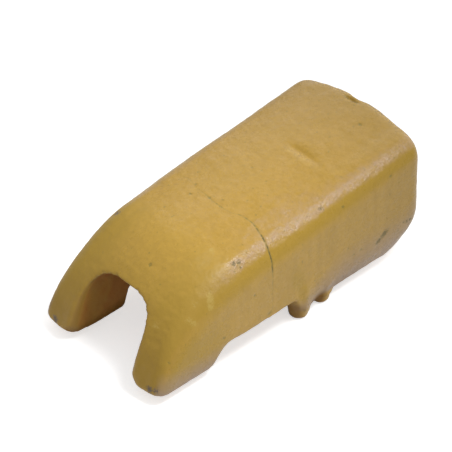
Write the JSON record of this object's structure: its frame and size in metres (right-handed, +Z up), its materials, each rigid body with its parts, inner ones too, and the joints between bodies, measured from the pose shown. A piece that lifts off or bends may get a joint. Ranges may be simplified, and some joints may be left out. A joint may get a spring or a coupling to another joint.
{
  "type": "bucket tooth adapter cover",
  "caption": "Saddle-shaped cast steel cover for a bucket tooth adapter, with an arched front on feet, an open channel underneath and feeder lugs on its sides.",
  "frame": {"origin": "middle of the casting's footprint, at the height of the lug tips on which it stands", "axes": "+X along the casting towards its rear, the arched front towards -X; +Z up; the pictured side wall faces -Y"},
  "size_m": [0.2976, 0.1422, 0.1106],
  "materials": {
    "yellow_paint": "ochre yellow paint, semi-gloss, over a sand-cast steel surface with small chips"
  },
  "bodies": {
    "root": {"adapter_casting": "yellow_paint"}
  },
  "joints": []
}
